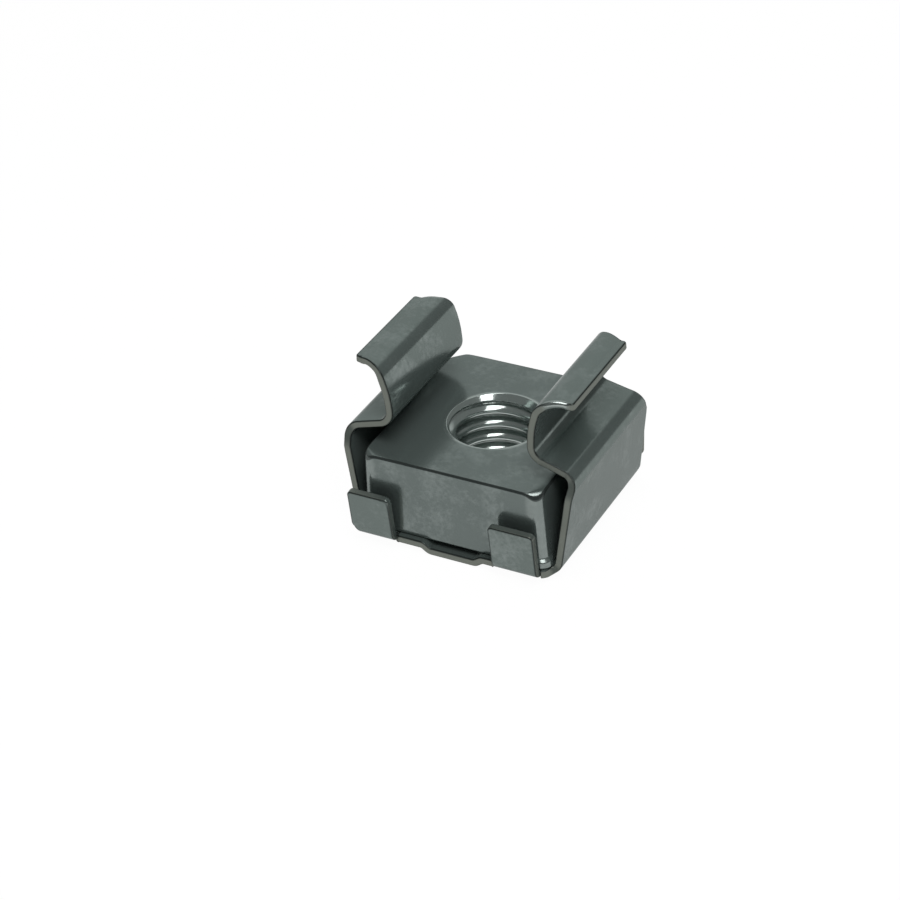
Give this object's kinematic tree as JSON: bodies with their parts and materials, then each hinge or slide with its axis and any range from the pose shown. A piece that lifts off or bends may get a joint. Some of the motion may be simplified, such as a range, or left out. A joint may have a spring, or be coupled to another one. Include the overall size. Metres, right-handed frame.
{
  "type": "rack cage nut",
  "caption": "Threaded square nut held loosely in a folded sheet steel spring cage whose two wings snap into a square hole.",
  "frame": {"origin": "on the thread axis, in the plane that the underside of the cage's pressed channel lies in", "axes": "+Z along the thread axis, from the cage's base towards the hooks and the panel; +X across the two wings; +Y along them"},
  "size_m": [0.0158, 0.0148, 0.0117],
  "materials": {
    "nut_zinc": "cold-formed steel, bright zinc plated, satin with a glossy cut thread",
    "cage_zinc": "spring steel sheet, bright zinc plated, satin"
  },
  "bodies": {
    "root": {"square_nut": "nut_zinc", "spring_cage": "cage_zinc"}
  },
  "joints": []
}
